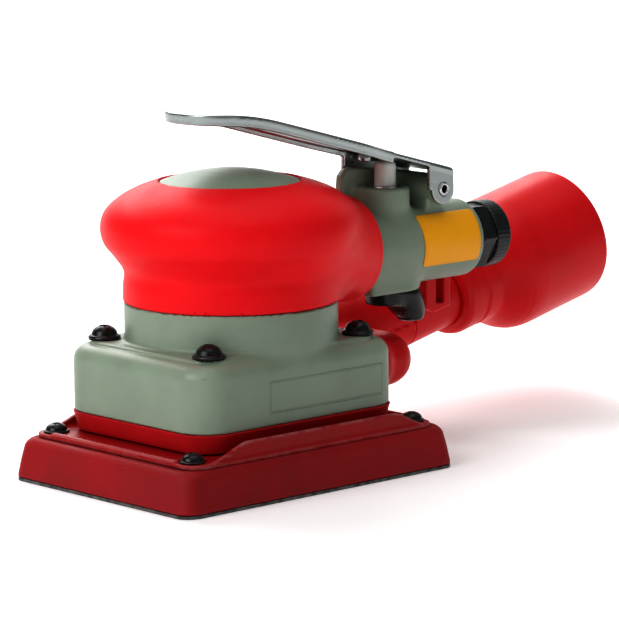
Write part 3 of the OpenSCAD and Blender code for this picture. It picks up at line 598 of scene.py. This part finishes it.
def material(name, rgb, rough=0.45, metal=0.0, grain=2600.0, grain_depth=0.00003, mottle=0.06,
             dust=0.0, wear=0.12, wear_rgb=None, stretch=(1, 1, 1), specular=0.5, scratch=0.0,
             panel=False, pores=0.0):
    """Finish with mottled colour, uneven gloss, fine grain, edge wear and painted shade darkening creases
    and hollows;
    settled dust, scratches, foam pores and the blank panel's frame if asked. Grain is in cycles per metre,
    depth in metres."""
    n = Nodes(name)
    broad = n.noise(55.0, 4.0, 0.6)
    fine = n.noise(grain, 2.0, 0.55, stretch)
    mid = n.noise(grain / 7, 3.0, 0.6, stretch)
    base = n.mix(n.ramp(broad, 0.35, 0.65), colour(rgb, 1 - mottle), colour(rgb, 1 + mottle))
    base = n.mix(n.ramp(fine, 0.3, 0.7, 0.0, mottle), base, colour(rgb, 0.55))
    edge = n.add("ShaderNodeNewGeometry").outputs["Pointiness"]
    rub = n.math("MULTIPLY", n.ramp(edge, 0.515, 0.56), n.ramp(mid, 0.35, 0.6))
    rub = n.math("MULTIPLY", rub, wear)
    worn = wear_rgb or tuple(min(1.0, v * 1.35 + 0.02) for v in rgb)
    base = n.mix(rub, base, colour(worn))
    # painted shade: concave spots (low pointiness) are darkened towards 0.4 of the colour, standing in for
    # shade in creases and hollows
    painted_crease_shade = n.math("MULTIPLY", n.ramp(edge, 0.475, 0.43), 0.35)
    base = n.mix(painted_crease_shade, base, colour(rgb, 0.4))
    if dust:
        up = n.add("ShaderNodeSeparateXYZ")
        n.join(n.add("ShaderNodeNewGeometry").outputs["Normal"], up.inputs[0])
        settled = n.math("MULTIPLY", n.ramp(up.outputs[2], 0.55, 1.0), n.ramp(mid, 0.42, 0.75))
        base = n.mix(n.math("MULTIPLY", settled, dust), base, (0.45, 0.43, 0.40, 1.0))
    gloss = n.ramp(broad, 0.3, 0.7, rough - 0.05, rough + 0.06)
    gloss = n.math("ADD", gloss, n.ramp(mid, 0.3, 0.7, -0.03, 0.03))
    if scratch:
        lines = n.noise(900.0, 2.0, 0.7, (0.04, 1, 1))
        gloss = n.math("ADD", gloss, n.ramp(lines, 0.55, 0.72, 0.0, scratch))
    n.join(base, n.bsdf.inputs["Base Color"])
    n.join(gloss, n.bsdf.inputs["Roughness"])
    n.bsdf.inputs["Metallic"].default_value = metal
    n.bsdf.inputs["Specular IOR Level"].default_value = specular
    normal = n.bump(fine, 0.5, grain_depth)
    normal = n.bump(mid, 0.25, grain_depth * 2, normal)
    if pores:
        cells = n.add("ShaderNodeTexVoronoi")
        n.join(n.coord, cells.inputs["Vector"])
        cells.inputs["Scale"].default_value = 1500.0
        normal = n.bump(n.ramp(cells.outputs["Distance"], 0.1, 0.5), pores, 0.00012, normal)
    if panel:
        normal = n.bump(panel_rim(n), 0.9, 0.0003, normal)
    n.join(normal, n.bsdf.inputs["Normal"])
    return n.mat


def panel_rim(n):
    """Thin raised frame of a blank panel on the near side of the housing's block."""
    place = n.add("ShaderNodeSeparateXYZ")
    n.join(n.coord, place.inputs[0])
    x, y, z = place.outputs
    ax = n.math("SUBTRACT", n.math("ABSOLUTE", n.math("SUBTRACT", x, 0.0085)), 0.0215)
    az = n.math("SUBTRACT", n.math("ABSOLUTE", n.math("SUBTRACT", z, 0.0275)), 0.0043)
    far = n.math("MAXIMUM", ax, az)
    rim = n.ramp(n.math("ABSOLUTE", far), 0.00015, 0.00035, 1.0, 0.0)
    return n.math("MULTIPLY", rim, n.ramp(y, -0.0284, -0.0286))


GREY = (0.245, 0.305, 0.232)
RED = (0.78, 0.010, 0.017)
DARK = (0.30, 0.005, 0.009)

MATERIALS = {
    "housing": material("housing_plastic", GREY, 0.42, grain=3200, grain_depth=0.00004, panel=True,
                        dust=0.05),
    "grip": material("soft_grip", RED, 0.42, grain=3800, grain_depth=0.00003, mottle=0.03, wear=0.05,
                     specular=0.12),
    "black_steel": material("black_oxide", (0.014, 0.014, 0.015), 0.28, 0.5, wear=0.3,
                            wear_rgb=(0.08, 0.07, 0.065)),
    "rubber_red": material("red_rubber", (0.44, 0.007, 0.011), 0.5, grain=2400, wear=0.05,
                           specular=0.15),
    "steel": material("machined_steel", (0.60, 0.61, 0.62), 0.24, 1.0, stretch=(1, 1, 6), grain=1800,
                      grain_depth=0.00001),
    "bearing_steel": material("bearing_steel", (0.7, 0.7, 0.72), 0.12, 1.0, grain_depth=0.000005,
                              wear=0.05),
    "brass": material("brass", (0.62, 0.45, 0.19), 0.28, 1.0, wear=0.2, grain_depth=0.00001),
    "black_bushing": material("black_nylon", (0.010, 0.012, 0.013), 0.26, grain=2600, wear=0.25,
                              wear_rgb=(0.06, 0.065, 0.07), specular=0.4),
    "black_rubber": material("black_rubber", (0.015, 0.015, 0.016), 0.6, wear=0.1),
    "label": material("label_film", (0.90, 0.42, 0.008), 0.36, grain=5000, grain_depth=0.00001, mottle=0.03,
                      wear=0.1, wear_rgb=(0.9, 0.7, 0.4), specular=0.3),
    "exhaust_red": material("exhaust_plastic", (0.64, 0.008, 0.013), 0.36, grain=3000, mottle=0.05,
                            wear=0.08, specular=0.2),
    "felt": material("felt", (0.62, 0.57, 0.46), 0.9, grain=900, grain_depth=0.0003, mottle=0.15),
    "vane": material("vane", (0.22, 0.12, 0.05), 0.5, grain=1500, mottle=0.2),
    "plate_red": material("plate_coat", (0.32, 0.006, 0.009), 0.36, grain=1600, grain_depth=0.00003,
                          wear=0.25, wear_rgb=(0.5, 0.42, 0.40), specular=0.2),
    "board": material("board", (0.10, 0.06, 0.035), 0.7, grain=1200, mottle=0.2),
    "foam_red": material("foam", DARK, 0.62, grain=1500, grain_depth=0.00008, mottle=0.10, wear=0.1,
                         pores=0.25, specular=0.3),
    "film": material("film", (0.012, 0.012, 0.013), 0.42, wear=0.5, wear_rgb=(0.25, 0.24, 0.23)),
    "lever_metal": material("stainless", (0.36, 0.39, 0.385), 0.28, 1.0, grain=1400, grain_depth=0.000008,
                            mottle=0.04, stretch=(0.05, 1, 1), wear=0.1, scratch=0.12),
    "nylon": material("nylon", (0.70, 0.73, 0.69), 0.35, grain=3000, mottle=0.03, wear=0.05),
}

SLOT_OF = {p["node"]: p["material_slot"] for p in frame["record"]["subparts"]}
BODY_OF = {n: b for b, group in frame["record"]["behaviour"]["bodies"].items() for n in group}

for node, ob in frame["nodes"].items():
    ob.data.materials.clear()
    ob.data.materials.append(MATERIALS[SLOT_OF[node]])


def stands_for(piece, node):
    """The piece takes the place of that CAD node."""
    piece.data.materials.append(MATERIALS[SLOT_OF[node]])
    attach(piece, BODY_OF[node])
    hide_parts(node)
    return piece


def field_piece(node, field, step):
    """Stands for a node with the surface of a field, on a grid of that step in mm."""
    lo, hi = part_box(node)
    piece = skin("look_" + node, field, [v / MM - 0.3 for v in lo], [v / MM + 0.3 for v in hi], step)
    return stands_for(piece, node)


field_piece("housing", housing_field, 0.95)
field_piece("grip", grip_field, 0.9)
field_piece("exhaust_elbow", elbow_field, 0.8)
field_piece("exhaust_duct", duct_field, 0.6)
field_piece("lever", lever_field, 0.5)
field_piece("speed_knob", knob_field, 0.5)
field_piece("backing_plate", plate_field, 0.62)

# ---- hose fitting -----------------------------------------------------------------------------

CUP_R = 21.4
FLARE = [(14.8, 15.6), (15.1, 16.3), (15.7, 17.2), (16.9, 18.7), (18.5, 20.4), (19.8, 22.3),
         (20.8, 24.6), (21.22, 26.8), (CUP_R, 29.0)]
RIM = [(CUP_R - 2 + 2 * math.cos(t), 56.0 + 2 * math.sin(t)) for t in np.radians([0, 22, 45, 68, 90])]
INSIDE = [(17.0, 58.0), (15.9, 57.0), (15.9, 22.9), (10.2, 22.9), (10.2, 13.7), (11.05, 13.7),
          (11.05, 10.6), (12.2, 10.6), (12.2, 8.4), (11.05, 8.4), (11.05, 0)]
BARREL = [(12.6, 0), (14.0, 0.7), (14.6, 2.4), (14.6, 8.1), (14.2, 8.8), (14.2, 9.6), (14.7, 10.2)]
hose_outline = BARREL + FLARE + [(CUP_R, 42.0)] + RIM + INSIDE
stands_for(turned("look_hose_fitting", soften(hose_outline, 0.35),
                  along(SWIVEL + SWIVEL_AXIS * -12.4, SWIVEL_AXIS), 128), "hose_fitting")

# ---- inlet bushing ------------------------------------------------------------------------------


def hexagon(tag, angle):
    """Scale that makes a hexagon of a circle through its corners."""
    return math.cos(math.pi / 6) / np.cos((angle % (math.pi / 3)) - math.pi / 6)


def bushing_shape(tag, angle):
    if tag == "hex":
        return hexagon(tag, angle)
    return 1 - 0.005 * (np.cos(angle * 48) > 0)


bushing_outline = [
    (4.0, 0), (8.37, 0), (8.37, 13.6), (10.0, 13.6, "hex"), (10.6, 14.1, "hex"), (10.6, 19.3, "hex"),
    (10.0, 19.8, "hex"), (9.2, 19.8), (9.2, 20.1), (9.9, 20.1, "knurl"), (10.2, 20.5, "knurl"),
    (10.2, 25.4, "knurl"), (9.7, 26.0, "knurl"), (6.1, 26.0), (5.6, 25.5), (5.6, 14.6), (4.0, 14.6)]
stands_for(turned("look_inlet_bushing", soften(bushing_outline, 0.25),
                  along((TUBE_END - 12.8, 0, TUBE_Z), (1, 0, 0)), 288, bushing_shape), "inlet_bushing")

# ---- small turned pieces ------------------------------------------------------------------------


def screw_outline(head_r, head_h, flange_r, flange_t, shank_r, shank_l):
    """Domed head with a hexagonal socket, on a flange, with the shank below height 0."""
    dome = [(head_r * math.cos(t), flange_t + head_h * math.sin(t))
            for t in np.radians([0, 15, 30, 45, 57, 66])]
    shank = [(0, -shank_l), (shank_r - 0.3, -shank_l), (shank_r, 0.3 - shank_l), (shank_r, -0.001)]
    flange = [(flange_r, 0), (flange_r, flange_t * 0.6), (flange_r - 0.5, flange_t - 0.05),
              (head_r + 0.05, flange_t - 0.1)]
    socket = head_r * 0.42
    floor = flange_t + head_h * 0.45
    hollow = [(socket, flange_t + head_h * 0.93, "hex"), (socket * 0.98, floor, "hex"), (0, floor - 0.15)]
    return shank + flange + dome + hollow


def screws(node, half_x, half_y, mid_y, z, numbers, turn):
    """Four screws at the corners of a rectangle, each turned a little further than the last."""
    outline = screw_outline(*numbers)
    spots = [(sx * half_x, sy * half_y + mid_y, z) for sx in (-1, 1) for sy in (-1, 1)]
    parts = []
    for i, spot in enumerate(spots):
        place = Matrix.Translation(Vector(spot)) @ Matrix.Rotation(math.radians(turn + 37 * i), 4, "Z")
        parts.append(turned("look_%s_%d" % (node, i), outline, place, 48, hexagon))
    for ob in parts:
        stands_for(ob, node)


screws("housing_screws", 28.3, 22.7, 0, 39.6, (3.7, 2.7, 4.65, 1.3, 2, 9.6), 20)
screws("plate_screws", 41.8, 29.7, ORBIT, 13.5, (3.1, 1.9, 3.7, 0.8, 2, 3.2), 5)

button = [(0, 57), (1.5, 57), (1.5, 64), (3.0, 64), (3.2, 64.3), (3.2, 83.7), (3.05, 84.3), (2.6, 84.7),
          (1.6, 84.88), (0, 84.9)]
stands_for(turned("look_valve_button", button, Matrix.Translation((VALVE_X, 0, 0)), 64), "valve_button")
bushing = [(3.25, 70.3), (5, 70.3), (5, 76.9), (4.8, 77.1), (4.4, 77.1), (4.4, 77.5), (4.2, 77.69),
           (3.45, 77.69), (3.25, 77.5)]
stands_for(turned("look_valve_bushing", soften(bushing, 0.1), Matrix.Translation((VALVE_X, 0, 0)), 64),
           "valve_bushing")
pin = [(1.1, 0.2), (1.3, 0), (1.7, 0), (2.0, 0.3), (2.0, 21.1), (1.7, 21.4), (1.3, 21.4), (1.1, 21.2)]
stands_for(turned("look_lever_pin", soften(pin, 0.1), along((PIVOT[0], -10.7, PIVOT[1]), (0, 1, 0)), 48),
           "lever_pin")
rivet_place = Matrix.Translation((54, 1, float(lever_top(np.array(54.0)) - 1.5)))
rivet = [(0, -2.4), (1.2, -2.4), (1.8, -2.1), (2.0, -1.5), (2.0, 0.5), (0, 0.5)]
stands_for(turned("look_lever_rivet", rivet, rivet_place, 40), "lever_rivet")

# ---- pad and skirt ------------------------------------------------------------------------------


def pad_rings():
    """Foam from its foot up to its shoulder, then down into the seat of the board."""
    levels = [(0.8, 0.5), (1.1, 0.05), (1.6, 0.0), (3.5, 0.3), (5.5, 0.6), (7.5, 0.95), (9.2, 1.3),
              (10.2, 1.5), (11.0, 1.9), (11.7, 2.5), (12.05, 3.0), (12.19, 3.6)]
    outside = [(51.55 - inset, 38.65 - inset, 5.0, z) for z, inset in levels]
    seat = [(46.05, 33.55, 4.0, 12.19), (46.02, 33.52, 4.0, 10.0)]
    return [rect_ring(hx, hy, r, z, ORBIT, 10, 14) for hx, hy, r, z in outside + seat]


pad = loft("look_pad", pad_rings(), closed=False)
stands_for(pad, "pad")

skirt_rings = [rect_ring(hx, hy, r, z) for hx, hy, r, z in (
    (35, 28, 6, 14), (36.7, 29.7, 8.6, 14), (37.2, 30.2, 9, 14.25), (37.45, 30.45, 9.2, 15.5),
    (37.75, 30.75, 9.3, 17), (38.1, 31.1, 9.6, 18.6), (38.36, 31.36, 9.8, 19.1), (38.36, 31.36, 9.8, 19.35),
    (38.2, 31.2, 9.7, 19.49), (35, 28, 6, 19.49))]
stands_for(loft("look_skirt", skirt_rings), "skirt")

# ---- label ----------------------------------------------------------------------------------


def label_mesh():
    """Sticker wrapped on the near side of the handle tube: rings from its inner middle over the edge
    to its outer middle, each (share of the full size, radius)."""
    mid_x, mid_a = 77.9, math.radians(168)
    inner, mid_r, outer = 11.82, 12.0, 12.05
    half_x, half_s = 11.7, mid_r * math.radians(40)
    steps = [(k, inner) for k in (0.2, 0.4, 0.6, 0.8, 1.0)]
    steps += [(1.0, mid_r)] + [(k, outer) for k in (0.985, 0.8, 0.6, 0.4, 0.2)]
    rings = []
    for k, r in steps:
        flat = rect_ring(half_x * k, half_s * k, 1.3 * k, 0, 0.0, 8, 10)
        rings.append([(mid_x + u, r * math.cos(mid_a + v / mid_r),
                       TUBE_Z + r * math.sin(mid_a + v / mid_r)) for u, v, _ in flat])
    n = len(rings[0])
    verts = [p for ring in rings for p in ring]
    faces = [[a + k, a + (k + 1) % n, a + n + (k + 1) % n, a + n + k]
             for a in range(0, n * (len(rings) - 1), n) for k in range(n)]
    for first, r, flip in ((0, inner, True), (n * (len(rings) - 1), outer, False)):
        c = len(verts)
        verts.append((mid_x, r * math.cos(mid_a), TUBE_Z + r * math.sin(mid_a)))
        for k in range(n):
            tri = [first + k, first + (k + 1) % n, c]
            faces.append(tri[::-1] if flip else tri)
    return make_mesh("look_label", np.asarray(verts) * MM, faces)


stands_for(label_mesh(), "label")

# ---- stage, lights, camera ----------------------------------------------------------------------


def stage_material():
    n = Nodes("stage_paper")
    fine = n.noise(400.0, 3.0)
    n.join(n.mix(n.ramp(fine, 0.3, 0.7, 0.0, 1.0), (0.87, 0.87, 0.87, 1), (0.89, 0.89, 0.89, 1)),
           n.bsdf.inputs["Base Color"])
    n.bsdf.inputs["Roughness"].default_value = 0.85
    n.bsdf.inputs["Emission Color"].default_value = (1.0, 1.0, 1.0, 1.0)
    n.bsdf.inputs["Emission Strength"].default_value = 0.16
    n.bsdf.inputs["Specular IOR Level"].default_value = 0.1
    return n.mat


def sweep():
    """Paper floor that curves up into a backdrop behind the object, as the camera sees it."""
    profile = [(-3.0, 0.0), (1.6, 0.0)]
    profile += [(1.6 + 0.9 * math.sin(t), 0.9 - 0.9 * math.cos(t)) for t in np.radians(range(6, 91, 6))]
    profile.append((2.5, 3.2))
    verts, faces = [], []
    for u, z in profile:
        verts += [(u, -3.5, z), (u, 3.5, z)]
    for i in range(len(profile) - 1):
        faces.append([2 * i, 2 * i + 2, 2 * i + 3, 2 * i + 1])
    ob = make_mesh("stage_sweep", verts, faces)
    ob.data.materials.append(stage_material())
    ob.rotation_euler = (0, 0, math.radians(47.4))
    ob.location = (0, 0, -0.0001)
    return ob


sweep()


def area(name, spot, target, size, power, tint=(1, 1, 1)):
    light = bpy.data.lights.new(name, "AREA")
    light.shape = "RECTANGLE"
    light.size, light.size_y = size
    light.energy = power
    light.color = tint
    ob = bpy.data.objects.new(name, light)
    ob.location = spot
    ob.rotation_euler = (Vector(target) - Vector(spot)).to_track_quat("-Z", "Y").to_euler()
    bpy.context.scene.collection.objects.link(ob)


area("key", (-1.5, 0.05, 0.95), (0.02, 0, 0.05), (1.2, 1.0), 21)
area("top", (0.1, -0.1, 1.6), (0.05, 0, 0), (1.6, 1.2), 10)
area("side", (0.5, -1.9, 0.7), (0.05, 0, 0.05), (1.2, 0.9), 1.5)
area("back", (0.9, 1.7, 1.4), (1.2, 1.3, 0.3), (2.2, 1.4), 55)

world = bpy.data.worlds.new("studio")
bpy.context.scene.world = world
world.use_nodes = True
back = world.node_tree.nodes["Background"]
back.inputs["Color"].default_value = (1.0, 1.0, 1.0, 1.0)
back.inputs["Strength"].default_value = 0.22

scene = bpy.context.scene
scene.view_settings.view_transform = "Standard"
scene.view_settings.gamma = 0.75

# The photograph's camera, solved from the pad's corners, the foot and the barrel
PHOTO_WIDTH, FOCAL_PIXELS = 619, 3453.69
yaw, pitch, roll = np.radians([-42.599, 9.374, -0.409])
backward = Vector((math.sin(yaw) * math.cos(pitch), -math.cos(yaw) * math.cos(pitch), math.sin(pitch)))
right = Vector((math.cos(yaw), math.sin(yaw), 0))
up = backward.cross(right)
side = right * math.cos(roll) + up * math.sin(roll)
top = up * math.cos(roll) - right * math.sin(roll)
target = right * 0.0224 + Vector((0, 0, 0.04718))
cam = bpy.data.cameras.new("camera")
cam.sensor_width = 36.0
cam.lens = FOCAL_PIXELS / PHOTO_WIDTH * cam.sensor_width
cam.clip_end = 50
camera = bpy.data.objects.new("camera", cam)
camera.matrix_world = Matrix.Translation(target + backward * 0.98798) @ Matrix(
    (side, top, backward)).transposed().to_4x4()
scene.collection.objects.link(camera)
scene.camera = camera
